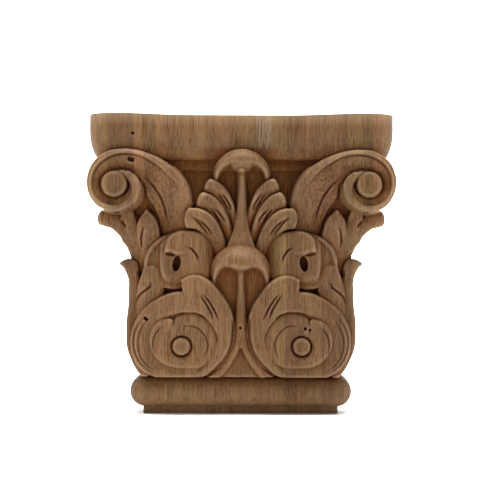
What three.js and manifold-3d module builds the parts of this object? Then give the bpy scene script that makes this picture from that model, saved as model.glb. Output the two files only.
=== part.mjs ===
// A carved wood capital onlay for the head of a flat pilaster: a lobed abacus, a volute at each corner,
// a middle leaf with a curled tip above another, scrolled leaves with rosettes, a round astragal and a foot.
// It is carved from one block, so it is one solid. Its flat back is fixed to the pilaster.
// Millimetres. X runs across, Z up, and the carving faces -Y. The origin is the middle of the flat back.
import * as THREE from "three";
import { LoftGeometry } from "three/addons/geometries/LoftGeometry.js";
import { mergeVertices } from "three/addons/utils/BufferGeometryUtils.js";
import Module from "manifold-3d";

const wasm = await Module();
wasm.setup();

// Driving dimensions. Heights run up from the underside of the foot, and reach is how far a piece stands
// out from the flat back.
const height = 225;
const width = 227;

const footHeight = 5.6;
const footHalfWidth = 74;
const footReach = 30;
const footCorner = 1.5;

const astragalHeight = 22.8;
const astragalOverhang = 10.4;
const astragalCorner = 15;

const neckHeight = 7.8;
const neckHalfWidth = 100;
const neckReach = 40;

const abacusHeight = 33.2;
const abacusHalfWidth = width / 2;
const abacusFaceReach = 50;
const hornReach = 65.5;
const hornRound = 21.5;
const hornFaceStart = 38;
const abacusUndercut = 8;
const abacusUndercutHeight = 22;

const bellReach = 27;
const bellFlare = 9;
const bellCorner = 12;

// The leaves and scrolls are drawn on a pattern sheet of this size, then stretched to the field between the
// astragal and the neck, to the widths of the foot and abacus, and to the reach of the abacus horns.
const sheet = { footHalfWidth: 74, topHalfWidth: 113.5, foot: 28.4, height: 155.6, reach: 65.5, clearOut: 80 };

const bossSegments = 16;
const capCrown = 4.5;

// The carved forms run back into the block to this reach, and stacked mouldings bite into each other.
const leafBack = 12;
const capBack = 32;
const voluteBack = 16;
const bite = 1;

const astragalTop = footHeight + astragalHeight;
const abacusBottom = height - abacusHeight;
const neckBottom = abacusBottom - neckHeight;
const fieldHeight = neckBottom - astragalTop;

const outScale = hornReach / sheet.reach;

function widthScale(up) {
  const share = (up - sheet.foot) / sheet.height;
  return THREE.MathUtils.lerp(footHalfWidth / sheet.footHalfWidth, abacusHalfWidth / sheet.topHalfWidth, share);
}

// A point of the pattern sheet: across from the centre line, up from the foot, out from the back.
function onSheet(across, up, out) {
  const height = astragalTop + ((up - sheet.foot) / sheet.height) * fieldHeight;
  return new THREE.Vector3(across * widthScale(up), -out * outScale, height);
}

function toSolid(geometry) {
  const bare = new THREE.BufferGeometry();
  bare.setAttribute("position", geometry.getAttribute("position"));
  bare.setIndex(geometry.getIndex());
  const merged = mergeVertices(bare, 1e-4);
  const vertProperties = merged.getAttribute("position").array;
  const index = merged.getIndex().array;
  const corners = [];
  for (let i = 0; i < index.length; i += 3) {
    const [a, b, c] = [index[i], index[i + 1], index[i + 2]];
    if (a !== b && b !== c && c !== a) corners.push(a, b, c);
  }
  const triVerts = new Uint32Array(corners);
  const made = new wasm.Manifold(new wasm.Mesh({ numProp: 3, vertProperties, triVerts }));
  if (made.volume() > 0) return made;
  return new wasm.Manifold(new wasm.Mesh({ numProp: 3, vertProperties, triVerts: triVerts.reverse() }));
}

// The walls of a loft face outwards when its sections wind the right way round, so they are turned if not.
function loft(sections, capEnd = true) {
  const [first, next] = sections;
  const around = new THREE.Vector3();
  const ahead = new THREE.Vector3();
  first.forEach((point, i) => {
    around.add(new THREE.Vector3().crossVectors(point, first[(i + 1) % first.length]));
    ahead.add(next[i]).sub(point);
  });
  const wound = around.dot(ahead) > 0 ? sections : sections.map((section) => [...section].reverse());
  return toSolid(new LoftGeometry(wound, { capStart: true, capEnd }));
}

function mirrored(solid) {
  return solid.add(solid.mirror([1, 0, 0]));
}

// Plans of the mouldings: outlines seen from above, from one back corner round the front to the other.
function roundedPlan(halfWidth, reach, corner, steps) {
  const half = [];
  for (let i = 0; i <= steps; i++) {
    const turn = (Math.PI / 2) * (i / steps);
    half.push([halfWidth - corner + corner * Math.cos(turn), reach - corner + corner * Math.sin(turn)]);
  }
  return bothSides([[halfWidth, 0], ...half]);
}

function abacusPlan(inset) {
  const halfWidth = abacusHalfWidth - inset;
  const horn = hornReach - inset;
  const face = abacusFaceReach - inset;
  const radius = hornRound - inset / 2;
  const roundSteps = 5;
  const faceSteps = 6;
  const half = [[halfWidth, 0]];
  for (let i = 0; i <= roundSteps; i++) {
    const turn = (Math.PI / 2) * (i / roundSteps);
    half.push([halfWidth - radius + radius * Math.cos(turn), horn - radius + radius * Math.sin(turn)]);
  }
  const lobeEnd = halfWidth - radius;
  for (let i = 1; i <= faceSteps; i++) {
    const across = THREE.MathUtils.lerp(lobeEnd, hornFaceStart, i / faceSteps);
    half.push([across, face + (horn - face) * THREE.MathUtils.smoothstep(across, hornFaceStart, lobeEnd)]);
  }
  return bothSides(half);
}

function bothSides(half) {
  const left = half.map(([across, reach]) => [-across, reach]).reverse();
  return [...half, ...left];
}

function planLoft(levels) {
  return loft(levels.map(({ up, plan }) => plan.map(([x, reach]) => new THREE.Vector3(x, -reach, up))));
}

function makeFoot() {
  const plan = roundedPlan(footHalfWidth, footReach, footCorner, 2);
  return planLoft([{ up: 0, plan }, { up: footHeight + bite, plan }]);
}

function makeAstragal() {
  const radius = astragalHeight / 2;
  const steps = 8;
  const levels = [];
  for (let i = 0; i <= steps; i++) {
    const turn = Math.PI * (i / steps - 0.5);
    const swell = astragalOverhang * Math.cos(turn);
    const corner = astragalCorner - astragalOverhang + swell;
    const plan = roundedPlan(footHalfWidth + swell, footReach + swell, corner, 4);
    levels.push({ up: footHeight + radius + radius * Math.sin(turn), plan });
  }
  return planLoft(levels);
}

// The bell widens from the astragal to the neck, by an outline of [up, half width, share of the flare].
const bellOutline = [[27, 72, 0], [60, 79, 0], [104, 80, 0.15], [116, 84.5, 0.25], [130, 86, 0.45],
  [150, 90, 0.75], [185, 95, 1]];

function makeBell() {
  return planLoft(bellOutline.map(([up, halfWidth, flare]) => ({
    up: onSheet(0, up, 0).z,
    plan: roundedPlan(halfWidth * widthScale(up), bellReach + bellFlare * flare, bellCorner, 3),
  })));
}

function makeNeck() {
  const plan = roundedPlan(neckHalfWidth, neckReach, bellCorner, 3);
  return planLoft([{ up: neckBottom, plan }, { up: abacusBottom + bite, plan }]);
}

function makeAbacus() {
  const levels = [];
  const steps = 4;
  for (let i = 0; i <= steps; i++) {
    const turn = (Math.PI / 2) * (i / steps);
    const inset = abacusUndercut * (1 - Math.sin(turn));
    const up = abacusBottom + abacusUndercutHeight * (1 - Math.cos(turn));
    levels.push({ up, plan: abacusPlan(inset) });
  }
  levels.push({ up: height, plan: abacusPlan(0) });
  return planLoft(levels);
}

// The line and the sizes of a stroke run smoothly through its stations.
function spline(values) {
  return new THREE.CatmullRomCurve3(values, false, "centripetal");
}

// Sections across a stroke, from its right-hand edge to its left. A crowned one is [share of the half width,
// share of the crown]. A dished one is a hollow of [share, share of its depth] and then a rim of [share, drop].
const crownedSection = [[1, 1], [0.62, 0.36], [0, 0], [-0.62, 0.36], [-1, 1]];
const dishHollow = [[1, 1.1], [0.35, 0.85], [-0.46, 1]];
const dishRim = [[-0.64, 0.6], [-0.84, 0], [-1, 1.2]];
const endTurns = [0.06, 0.5, 0.85];
const stationGap = 10;

// A stroke is a leaf lobe, stem or scroll: stations of [across, up, half width, reach] on the pattern sheet.
// Its edges drop by the crown, or it has a dish of the depth given along it. Its first end is rounded over a
// share of its half width, and the other end runs in under its neighbours.
function stroke(stations, { steps = 8, crown = 2.5, back = leafBack, endRound = 0.6, dish = null } = {}) {
  const path = spline(stations.map(([across, up]) => new THREE.Vector3(across, up, 0)));
  const sizes = spline(stations.map(([, , half, reach], i) => new THREE.Vector3(i * stationGap, half, reach)));
  const sections = [];
  const addSection = (t, shrink, shift) => {
    const at = path.getPoint(t);
    const along = path.getTangent(t);
    const size = sizes.getPoint(t);
    const half = size.y * shrink;
    const top = size.z - (crown / 2) * (1 - shrink);
    const point = (share, out) => onSheet(
      at.x + along.y * half * share + along.x * shift, at.y - along.x * half * share + along.y * shift, out);
    const section = dish
      ? [...dishHollow.map(([share, part]) => [share, part * dish(t) * shrink]), ...dishRim]
      : crownedSection.map(([share, part]) => [share, part * crown]);
    const face = section.map(([share, drop]) => point(share, top - drop));
    sections.push([point(1, back), ...face, point(-1, back)]);
  };
  if (endRound > 0) {
    const startRound = endRound * stations[0][2];
    for (const turn of endTurns) addSection(0, Math.sqrt(1 - (1 - turn) ** 2), -startRound * (1 - turn));
  }
  for (let i = 0; i <= steps; i++) addSection(i / steps, 1, 0);
  return loft(sections);
}

// A turned boss on the pattern sheet: its profile is [radius, reach].
function turned(profile, across, up, segments) {
  const scale = widthScale(up);
  const outline = profile.map(([radius, out]) => new THREE.Vector2(radius * scale, out * outScale));
  const boss = new THREE.LatheGeometry(outline, segments);
  boss.rotateX(Math.PI);
  const middle = onSheet(across, up, 0);
  boss.translate(middle.x, middle.y, middle.z);
  return toSolid(boss);
}

// A medallion is a dished disc: rings of [share of its outline, reach] that close on its middle.
function medallion(outline, middle, rings, count) {
  const curve = new THREE.CatmullRomCurve3(
    outline.map(([across, up]) => new THREE.Vector3(across, up, 0)), true, "centripetal");
  const points = curve.getSpacedPoints(count).slice(0, count);
  const sections = rings.map(([share, reach]) =>
    points.map((p) => onSheet(
      middle[0] + (p.x - middle[0]) * share, middle[1] + (p.y - middle[1]) * share, reach)));
  return loft(sections, false);
}

// The volute: a band that climbs from the bell to the corner and winds in to a round eye.
const voluteBand = [[49.5, 138, 11.3, 42], [51, 150, 13.9, 45], [53.5, 161, 15.3, 49],
  [57.5, 171, 15.3, 54], [64.5, 181, 12.4, 59], [74.5, 189, 9.4, 64], [85.5, 192.3, 7.8, 66.5],
  [96.5, 191.3, 7.1, 67.5], [104.8, 185.4, 6, 67], [108.8, 177, 5, 66], [108, 168, 5, 65.5],
  [103, 161, 5.3, 65], [95.5, 158, 4.9, 65], [88, 159.5, 4.6, 65], [82, 163.5, 4.4, 65],
  [78.5, 169.5, 4.1, 65], [79.5, 175.5, 3.5, 65], [84, 180, 2.8, 66]];
const voluteEye = { across: 94, up: 173, radius: 9.7, reach: 68, floor: 57, floorRadius: 17, back: 14 };
const voluteHollow = 4.6;

// The hollow behind its rim deepens as the band rises and closes again as the band winds in.
function makeVolute() {
  const { smoothstep } = THREE.MathUtils;
  const dish = (t) => voluteHollow * (0.4 + 0.6 * smoothstep(t, 0, 0.2)) * (1 - 0.9 * smoothstep(t, 0.55, 0.8));
  const band = stroke(voluteBand, { steps: 28, back: voluteBack, dish });
  const { across, up, radius, reach, floor, floorRadius, back } = voluteEye;
  const profile = [[0, back], [floorRadius, back], [floorRadius, floor], [radius, floor], [radius, reach - 2.4],
    [radius * 0.8, reach - 0.4], [0, reach]];
  return band.add(turned(profile, across, up, bossSegments));
}

// The upper middle leaf: a flared stem, three lobes on each side and a tip that curls over at the top.
const upperStem = [[0, 124, 11.2, 52], [0, 132, 8.6, 51], [0, 139, 6.3, 49], [0, 148.5, 4.6, 47],
  [0, 158, 3.6, 46], [0, 170, 2.8, 46], [0, 184, 2.7, 47]];
const upperCap = [[21, 176.5, 1.1, 46], [20.5, 182, 1.6, 50], [18, 187, 2.4, 54], [15, 190.5, 3.1, 57],
  [11, 192.8, 4, 59.5], [6, 193.8, 5.2, 61.5], [0, 193.8, 6, 62.5]];
const upperTongue = [[0, 185, 5, 60], [0, 189, 6.6, 61.8], [0, 193, 7, 62]];
const upperLobes = [
  [[23.5, 172, 4.3, 50], [20, 169.5, 4.9, 49.5], [16, 166, 4.9, 49], [12.5, 161.5, 4.6, 48],
    [9.5, 156, 4.1, 47], [7.5, 150, 3.7, 45.5], [6, 141, 3.4, 43.5]],
  [[28.5, 161, 5.4, 50], [24.5, 159.5, 5.7, 49.5], [20.5, 156, 5.5, 49], [17, 151.5, 5.2, 48.5],
    [14, 146.5, 4.6, 47.5], [11.5, 140.5, 4.2, 46], [9, 131, 4, 43.5]],
  [[35.5, 147.5, 7.3, 50], [30.5, 146, 7.5, 50], [26, 143, 7.2, 49.5], [22, 138.5, 6.6, 49],
    [18.5, 133, 5.5, 48], [16, 126.5, 5, 46.5], [14, 120, 4.6, 45]],
];

// The lower middle leaf: its curled tip covers the foot of the upper stem, and its own stem forks.
const lowerStem = [[0, 57, 6, 46], [0, 66, 5.1, 46], [0, 75.5, 4, 45.5], [0, 87, 3.4, 45],
  [0, 98, 2.8, 45], [0, 110, 3, 46]];
const lowerFork = [[2, 61.5, 3.7, 46], [3.5, 53, 3.7, 46], [7, 45.5, 3.7, 46], [11, 39, 3.9, 45.5],
  [16, 33, 4.1, 45], [21.5, 28, 4.1, 44]];
const lowerCap = [[22, 99.5, 1, 46], [21.5, 105, 1.3, 50], [20.5, 110, 1.8, 53.5], [17.5, 114.2, 3.4, 57],
  [13.5, 117.5, 5.2, 60], [8, 119, 7.4, 62], [0, 118.8, 9.1, 63]];
const fanGround = [[0, 168, 5, 38], [0, 155, 14, 39], [0, 140, 22, 40], [0, 127, 30, 40], [0, 112, 32, 40]];

function makeMiddleLeaves() {
  const stems = stroke(upperStem, { steps: 6, endRound: 0 }).add(stroke(lowerStem, { steps: 5, endRound: 0 }));
  const capShape = { steps: 14, crown: capCrown, back: capBack };
  const caps = [upperCap, lowerCap].map((cap) => stroke(bothEnds(cap), capShape));
  const lobes = upperLobes.map((lobe) => stroke(lobe, { steps: 5 }));
  const fork = stroke(lowerFork, { steps: 5, crown: 1.6 });
  const tongue = stroke(upperTongue, { steps: 3, crown: 3, back: capBack, endRound: 0.9 });
  const ground = stroke(fanGround, { steps: 4, crown: 1.5 });
  const sides = mirrored(wasm.Manifold.union([...lobes, fork]));
  return wasm.Manifold.union([stems, ...caps, tongue, ground, sides]);
}

// A cap runs from one side over the middle to the other, so its stations are repeated the other way.
function bothEnds(stations) {
  return [...stations, ...stations.slice(0, -1).reverse().map(([across, ...rest]) => [-across, ...rest])];
}

// The side leaves hang free of the bell at their tips: one under the volute and one above the astragal.
const sideLeaf = [
  [[104.5, 148.5, 5.6, 46], [99.5, 148, 6.2, 46], [94.5, 145.5, 5.8, 45], [90, 141, 5.4, 43],
    [86, 135.5, 4.8, 41], [83, 129.5, 4.2, 39], [81, 123.5, 3.6, 37.5], [80, 118, 2.6, 36]],
  [[85.5, 150.8, 5, 47.5], [85, 146, 5.6, 45.5], [83, 140, 5.6, 43.5], [81, 133.5, 5.2, 41.5],
    [79, 126, 4.4, 39.5]],
  [[73, 151, 1.8, 49], [72.8, 146.5, 4.9, 49], [72, 141, 7.4, 47.5], [71.5, 135, 8.4, 45],
    [72, 128, 7.6, 42], [74, 121.5, 5.6, 39.5], [76, 115, 4, 37]],
];
const footLeaf = [
  [[90, 112.5, 2.4, 42], [86.5, 112, 4.1, 42], [83.5, 108.5, 4.8, 41.5], [81, 103, 4.9, 41],
    [80.5, 96.5, 4.2, 40.5], [80.5, 88, 3.8, 40.5], [81.5, 79, 3.6, 41], [82.5, 70, 3.8, 41],
    [82.5, 61, 3.9, 41], [82, 52, 3.9, 41], [79, 43, 3.8, 41], [75.5, 36, 3.6, 41], [71, 30, 3.4, 41]],
  [[67.5, 108, 6.7, 48], [67, 102, 8.2, 47], [68, 95, 8.6, 45.5], [70, 88.5, 7.9, 44], [74, 82, 6, 43],
    [77, 76, 4.1, 42]],
];

const sideGround = [[103, 153], [90, 155], [79, 149], [70, 147], [66, 138], [66, 126], [70, 110],
  [80, 106], [83, 118], [88, 132], [97, 143], [104, 146]];
const sideGroundMiddle = [80, 136];
const sideGroundRings = [[1, leafBack], [1, 36], [0, 39]];

function makeSideLeaves() {
  const upper = sideLeaf.map((lobe) => stroke(lobe, { steps: 6 }));
  const lower = [stroke(footLeaf[0], { steps: 11, crown: 1.8 }), stroke(footLeaf[1], { steps: 5 })];
  const ground = medallion(sideGround, sideGroundMiddle, sideGroundRings, 14);
  return wasm.Manifold.union([...upper, ...lower, ground]);
}

// The middle scroll: a leaf that coils round a deep hole, with the edge of its outer coil behind it.
const scrollOutline = [[57, 124], [56.5, 127.5], [54.5, 132], [51, 134.5], [46.5, 137], [42, 138.5],
  [36.5, 138.5], [30.5, 137], [25.5, 134], [22, 129.5], [19.5, 124.5], [18.5, 118.5], [18.5, 112.5],
  [21, 105.5], [26, 99.5], [34, 95.5], [42.5, 94], [51.5, 94.5], [56, 98], [58, 103.5], [59.5, 111],
  [59.5, 118.5]];
const scrollHole = [47.5, 114.5];
const holeHalfWidth = 3.1;
const holeHalfHeight = 5.6;
const scrollRings = [[1, leafBack], [1, 46.5], [0.92, 50], [0.72, 50], [0.4, 46.5], [0.17, 43.5],
  [0, 43.5]];
const backCoil = [[42, 136], [53, 135.5], [60, 132.5], [66, 128.5], [70, 122.5], [72, 115], [71.5, 108],
  [68, 101], [60, 96], [48, 94], [38, 98], [34, 110], [34, 125]];
const backCoilMiddle = [52, 114];
const backCoilRings = [[1, leafBack], [1, 41.5], [0.97, 43], [0.9, 42.5], [0.82, 40], [0, 40]];

// Beside the hole the coil drops to a pocket under its own curled tip.
const scrollPocket = [[50, 111.5], [49.2, 122], [57, 124.5], [61, 120], [61, 108], [58, 98], [52, 97],
  [50.5, 104]];
const pocketFloor = 43.5;
const holeFloor = 24;

function makeMiddleScroll() {
  const coils = medallion(backCoil, backCoilMiddle, backCoilRings, 22)
    .add(medallion(scrollOutline, scrollHole, scrollRings, 26));
  const rim = [];
  const rimSteps = 12;
  for (let i = 0; i < rimSteps; i++) {
    const turn = (2 * Math.PI * i) / rimSteps;
    const across = scrollHole[0] + holeHalfWidth * Math.cos(turn);
    rim.push([across, scrollHole[1] + holeHalfHeight * Math.sin(turn)]);
  }
  return coils.subtract(pit(rim, holeFloor)).subtract(pit(scrollPocket, pocketFloor));
}

// A straight-sided pit in the relief, cut down to its floor.
function pit(rim, floor) {
  return loft([floor, sheet.clearOut].map((out) => rim.map(([across, up]) => onSheet(across, up, out))));
}

// The lower scroll: an outer coil, a heart-shaped rosette with a button, and the large leaf over both.
const lowerCoil = [[44, 85, 7.1, 46], [51.5, 84, 7.5, 46], [59, 81, 7.3, 46], [66, 77, 6.7, 45.5],
  [71, 72, 5.7, 45], [75, 65.5, 4.7, 45], [77, 58.5, 4.1, 45], [77, 51, 3.9, 45], [75, 43.5, 3.8, 45],
  [70.5, 37.5, 3.8, 45], [64.5, 33, 3.8, 45], [57, 30, 3.4, 45], [47, 29, 3.2, 45], [37, 30, 3, 45]];
const largeLeaf = [[43.4, 92, 11.5, 50.5], [35.5, 92.3, 13.4, 52], [26.9, 89.2, 13, 52],
  [20, 84.2, 11.5, 52], [14.8, 77, 10.3, 52], [11.7, 68.5, 8.5, 52], [10.9, 59.7, 6.7, 51.5],
  [12, 52.9, 5.6, 51], [15.5, 46.5, 4.5, 50], [20.5, 40.5, 4, 49], [26, 34.5, 3.7, 48],
  [33.5, 30.5, 3, 46]];
const rosetteOutline = [[51, 71.5], [48, 76], [42.5, 78], [36.5, 78.5], [30.5, 76.5], [24.5, 73],
  [20, 67], [17, 60], [16.5, 52.5], [18.5, 45], [23, 39], [29, 34.5], [36.5, 33], [45.5, 33],
  [54.5, 34.5], [61, 37.5], [67, 43], [70.5, 49], [72.5, 55.5], [71.5, 61], [68.5, 66.5], [63.5, 71],
  [57.5, 73], [53, 73]];
const rosetteMiddle = [44, 52.5];
const rosetteRings = [[1, leafBack], [1, 47], [0.93, 50], [0.82, 50], [0.6, 46.5], [0.31, 43.5], [0, 43.5]];
const coilGround = [[44, 88], [58, 87], [70, 80], [79, 65], [80, 50], [76, 38], [66, 30], [50, 27],
  [36, 28], [28, 33], [18, 45], [16, 60], [24, 80], [34, 87]];
const coilGroundRings = [[1, leafBack], [1, 40], [0, 42]];
const button = { radius: 8, reach: 49, back: 20 };

function makeLowerScroll() {
  const rosette = medallion(rosetteOutline, rosetteMiddle, rosetteRings, 26);
  const ground = medallion(coilGround, rosetteMiddle, coilGroundRings, 18);
  const { radius, reach, back } = button;
  const knob = turned([[0, back], [radius, back], [radius, reach - 2], [radius * 0.7, reach], [0, reach + 0.4]],
    ...rosetteMiddle, bossSegments);
  const coil = stroke(lowerCoil, { steps: 12, crown: 2 });
  const leaf = stroke(largeLeaf, { steps: 11, endRound: 0.15 });
  return wasm.Manifold.union([coil, leaf, ground, rosette, knob]);
}

// The carving stops on the ledge above the astragal.
function makeBelowField() {
  const below = new THREE.BoxGeometry(4 * abacusHalfWidth, 4 * hornReach, 2 * astragalTop);
  return toSolid(below);
}

// One block of wood: every form is joined, and the right-hand side is the mirror of the left.
const halfForms = [makeVolute(), makeSideLeaves(), makeMiddleScroll(), makeLowerScroll()];
const carving = makeMiddleLeaves().add(mirrored(wasm.Manifold.union(halfForms))).subtract(makeBelowField());
const block = wasm.Manifold.union([makeFoot(), makeAstragal(), makeBell(), makeNeck(), makeAbacus(), carving]);

const cut = block.getMesh();
const geometry = new THREE.BufferGeometry();
geometry.setAttribute("position", new THREE.BufferAttribute(cut.vertProperties, 3));
geometry.setIndex(new THREE.BufferAttribute(cut.triVerts, 1));
geometry.computeVertexNormals();

const wood = new THREE.MeshStandardMaterial({ color: 0x8c6a50, roughness: 0.75, metalness: 0 });
const onlay = new THREE.Mesh(geometry, wood);
onlay.name = "capital_onlay";
onlay.position.z = -height / 2;

const group = new THREE.Group();
group.add(onlay);
export default group;
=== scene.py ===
import math
import bmesh
import bpy
import numpy as np
import openvdb
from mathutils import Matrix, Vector


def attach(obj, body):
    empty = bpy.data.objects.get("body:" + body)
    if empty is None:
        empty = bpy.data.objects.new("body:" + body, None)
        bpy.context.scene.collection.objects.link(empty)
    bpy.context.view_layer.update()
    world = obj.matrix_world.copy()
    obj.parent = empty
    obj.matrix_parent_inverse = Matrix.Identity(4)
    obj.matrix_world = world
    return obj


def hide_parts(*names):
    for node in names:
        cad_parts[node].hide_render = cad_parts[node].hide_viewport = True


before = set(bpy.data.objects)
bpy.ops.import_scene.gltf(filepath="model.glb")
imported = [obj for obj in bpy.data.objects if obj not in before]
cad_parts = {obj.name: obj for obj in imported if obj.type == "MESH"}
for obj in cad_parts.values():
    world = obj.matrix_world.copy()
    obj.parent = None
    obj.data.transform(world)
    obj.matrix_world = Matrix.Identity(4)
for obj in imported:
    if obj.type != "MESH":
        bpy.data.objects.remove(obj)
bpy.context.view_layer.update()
print("frame loaded")

# The onlay is one block of wood. Its carving is drawn in millimetres on a pattern sheet: across from the
# middle line, up from the underside of the foot, and reach, how far it stands out from the flat back.
onlay = {
    "height": 225, "halfWidth": 113.5, "carvingFoot": 28.4,
    "foot": {"height": 5.6, "halfWidth": 74, "reach": 30, "corner": 1.5},
    "astragal": {"height": 22.8, "overhang": 10.4, "corner": 4.6},
    "neck": {"height": 7.8, "halfWidth": 100, "reach": 40, "corner": 12},
    "abacus": {"height": 33.2, "faceReach": 50, "hornReach": 65.5, "hornRound": 21.5, "hornFaceStart": 38,
               "undercut": 8, "undercutHeight": 22},
    "bell": {"start": 24.4, "reach": 27, "flare": 9, "corner": 12,
             "outline": [[27, 72, 0], [60, 79, 0], [104, 80, 0.15], [116, 84.5, 0.25], [130, 86, 0.45],
                         [150, 90, 0.75], [185, 95, 1]]},
    "leafBack": 12, "voluteBack": 16, "voluteFoot": 154,
    "wallSlope": 9,        # how steeply the side of a carved form falls
    "steepest": 12,        # the most that a slope thins a form's distance
    "lap": 1,              # how far a moulding runs into the next
    "handWarp": 0.35,      # how far the carver's hand strays
    "pattern": {"across": (-1.5, 119), "up": (18, 206), "cell": 0.3},
    "grid": {"across": 116, "out": 71, "up": 227, "around": 2, "voxel": 0.5},
    "triangles": 196000,
    "shortest": 0.02,      # edges below this are merged
    "sharpAngle": 48,
    # pin and worm holes: across, up, radius, depth
    "holes": [[-80, 210, 1.1, 5], [-82.1, 191.1, 1.5, 4], [-80, 190.5, 1.4, 4], [-71.4, 73, 1.3, 5],
              [-70, 72, 1, 4], [-0.4, 66, 1, 5], [48.4, 65.7, 1.1, 5], [51.7, 64.6, 1, 4]],
}

pattern = onlay["pattern"]
acrossLine = np.arange(*pattern["across"], pattern["cell"])
upLine = np.arange(*pattern["up"], pattern["cell"])
nothing = -80.0
relief = np.full((len(acrossLine), len(upLine)), nothing)   # reach of the carved surface
cover = np.full_like(relief, nothing)                       # distance inside the outline of any form
cuts = np.zeros_like(relief)                                # how much a line is cut there


# A smooth curve through rows of values, each at its place along a line.
def smoothRows(rows, along, where):
    rows = np.array(rows, float)
    i = np.clip(np.searchsorted(along, where, side="right") - 1, 0, len(along) - 2)
    slope = np.gradient(rows, along, axis=0)
    span = (along[i + 1] - along[i])[:, None]
    t = (where - along[i])[:, None] / span
    a, b = 2 * t**3 - 3 * t**2 + 1, t**3 - 2 * t**2 + t
    return a * rows[i] + b * span * slope[i] + (1 - a) * rows[i + 1] + (t**3 - t**2) * span * slope[i + 1]


def chordLengths(rows):
    steps = np.diff(np.array(rows, float)[:, :2], axis=0)
    return np.concatenate(([0], np.cumsum(np.hypot(steps[:, 0], steps[:, 1]))))


def windowOf(low, high):
    i = np.searchsorted(acrossLine, (low[0], high[0]))
    j = np.searchsorted(upLine, (low[1], high[1]))
    return slice(*i), slice(*j)


# For each point of the sheet near a line: its share along it, how far to the left of it, its distance, and
# the line's half width and reach there. The rounds say how far each end reaches past its last point.
def nearLine(stations, margin=7, startRound=0.6, endRound=0.6, gap=0.4):
    along = chordLengths(stations)
    where = np.linspace(0, along[-1], int(along[-1] / gap) + 3)
    line = smoothRows(stations, along, where)
    slope = np.gradient(line, where, axis=0)
    heading = slope[:, :2] / np.hypot(slope[:, 0], slope[:, 1])[:, None]
    wide = line[:, 2:3]
    window = windowOf((line[:, :2] - wide).min(0) - margin, (line[:, :2] + wide).max(0) + margin)
    x, z = acrossLine[window[0]][:, None], upLine[window[1]][None, :]
    best = np.full((x.size, z.size), np.inf)
    pick = np.zeros(best.shape, int)
    for k, (px, pz, half) in enumerate(line[:, :3]):
        far = ((x - px) ** 2 + (z - pz) ** 2) / half**2
        closer = far < best
        best[closer] = far[closer]
        pick[closer] = k
    dx, dz = x - line[pick, 0], z - line[pick, 1]
    ahead = dx * heading[pick, 0] + dz * heading[pick, 1]
    left = heading[pick, 0] * dz - heading[pick, 1] * dx
    before, after = (pick == 0) & (ahead < 0), (pick == len(line) - 1) & (ahead > 0)
    past = np.where(before, ahead / startRound, np.where(after, ahead / endRound, ahead))
    inside = np.where(before | after, 0, ahead)
    return {
        "window": window, "left": left, "distance": np.hypot(left, past),
        "past": np.where(before | after, np.abs(past), 0),
        "share": (where[pick] + inside) / along[-1],
        "half": np.maximum(line[pick, 2] + slope[pick, 2] * inside, 0.3),
        "reach": line[pick, 3] + slope[pick, 3] * inside if line.shape[1] > 3 else None,
    }


# An edge rolls over by its radius, then falls as a steep wall.
def edgeDrop(inside, radius):
    over = np.clip(radius - inside, 0, radius)
    return radius - np.sqrt(radius**2 - over**2) + onlay["wallSlope"] * np.maximum(-inside, 0)


# A form shows only where it stands out past what is on the sheet already.
def lay(window, surface, inside):
    relief[window] = np.maximum(relief[window], surface)
    cover[window] = np.maximum(cover[window], inside)


# A leaf lobe, stem or coil. It is highest at the peak, a share of its half width to the left of its line,
# and falls from there by its crowns: the first to its left edge and the second to its right.
def layStroke(stations, crown=(2.5, 2.5), edge=1.2, power=2.0, peak=0.0, **ends):
    near = nearLine(stations, **ends)
    inside = near["half"] - near["distance"]
    side = np.clip(near["left"] / near["half"], -1, 1)
    falls = np.where(side > peak, crown[0] * (np.abs(side - peak) / (1 - peak)) ** power,
                     crown[1] * (np.abs(peak - side) / (1 + peak)) ** power)
    falls = falls + 0.5 * sum(crown) / 2 * np.minimum(near["past"] / near["half"], 1) ** 2
    lay(near["window"], near["reach"] - falls - edgeDrop(inside, edge), inside)


# A line cut in the surface, thinning out to its ends.
def markLine(points, half, depth, taper=0.25):
    near = nearLine([[*p[:2], half] for p in points], margin=4, startRound=1, endRound=1)
    fade = np.clip(np.minimum(near["share"], 1 - near["share"]) / taper, 0, 1) ** 0.7
    fade = np.where(near["distance"] > abs(near["left"]) + 0.5, 0, fade)
    groove = np.exp(-((near["distance"] / near["half"]) ** 2)) * fade
    relief[near["window"]] -= groove * depth
    cuts[near["window"]] = np.maximum(cuts[near["window"]], groove)


# The share from a form's middle out to its outline, 1 at the outline, and the distance inside it.
def nearOutline(outline, middle, margin=7):
    closed = np.array(outline[-3:] + outline + outline[:3], float)   # it runs on past its seam both ways
    along = chordLengths(closed)
    line = smoothRows(closed, along, np.linspace(along[3], along[-3], 400)) - middle
    turn, far = np.arctan2(line[:, 1], line[:, 0]), np.hypot(line[:, 0], line[:, 1])
    order = np.argsort(turn)
    turn, far = turn[order], far[order]
    steady = turn + np.arange(len(turn)) * 1e-9   # no two turns are the same
    lean = np.gradient(far, steady)
    window = windowOf((line + middle).min(0) - margin, (line + middle).max(0) + margin)
    dx, dz = acrossLine[window[0]][:, None] - middle[0], upLine[window[1]][None, :] - middle[1]
    angle, radius = np.arctan2(dz, dx), np.hypot(dx, dz)
    limit = np.interp(angle, turn, far, period=2 * math.pi)
    tilt = np.interp(angle, turn, np.clip(lean / far, -3, 3), period=2 * math.pi)
    return {"window": window, "share": radius / limit, "inside": (limit - radius) / np.hypot(1, tilt)}


# The reach at each share of the way out, smoothed through the rings.
def ringSurface(rings, share):
    rings = np.array(rings, float)
    fine = np.linspace(0, 1, 200)
    return np.interp(share, fine, smoothRows(rings[:, 1:], rings[:, 0], fine)[:, 0])


# A dished form, by its reach at shares of the way from its middle to its outline.
def layDisc(outline, middle, rings, edge=1.4):
    near = nearOutline(outline, middle)
    lay(near["window"], ringSurface(rings, near["share"]) - edgeDrop(near["inside"], edge), near["inside"])


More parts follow.
